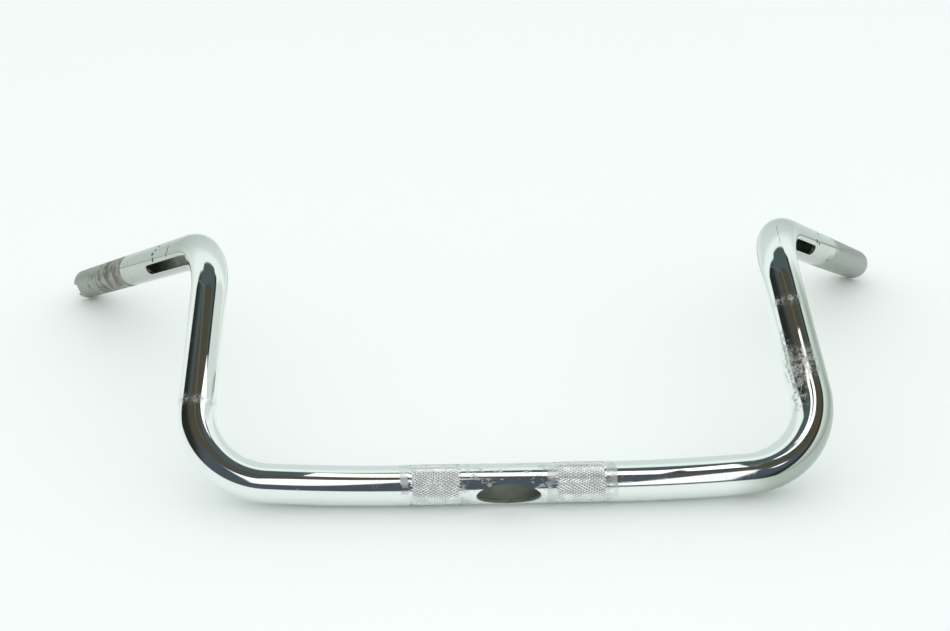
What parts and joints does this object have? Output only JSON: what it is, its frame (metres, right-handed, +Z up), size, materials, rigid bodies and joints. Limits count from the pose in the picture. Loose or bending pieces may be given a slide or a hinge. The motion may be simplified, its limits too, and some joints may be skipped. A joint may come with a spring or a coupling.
{
  "type": "motorcycle handlebar",
  "caption": "Bent chromed tube that steers a motorcycle, with a knurled clamp stretch in the middle, leaning uprights, pulled-back grip ends and slots for wiring run inside.",
  "frame": {"origin": "middle of the clamp stretch, on the tube's axis", "axes": "+X along the clamp axis to the clutch-hand side, +Y back towards the rider, +Z up; the bar lies as it comes to rest on a floor, on its clamp stretch and both grip ends"},
  "size_m": [0.7069, 0.3511, 0.1259],
  "materials": {
    "chromed_steel": "bright chrome plate, dull and stained where the grips sat"
  },
  "bodies": {
    "root": {"handlebar_tube": "chromed_steel"}
  },
  "joints": []
}
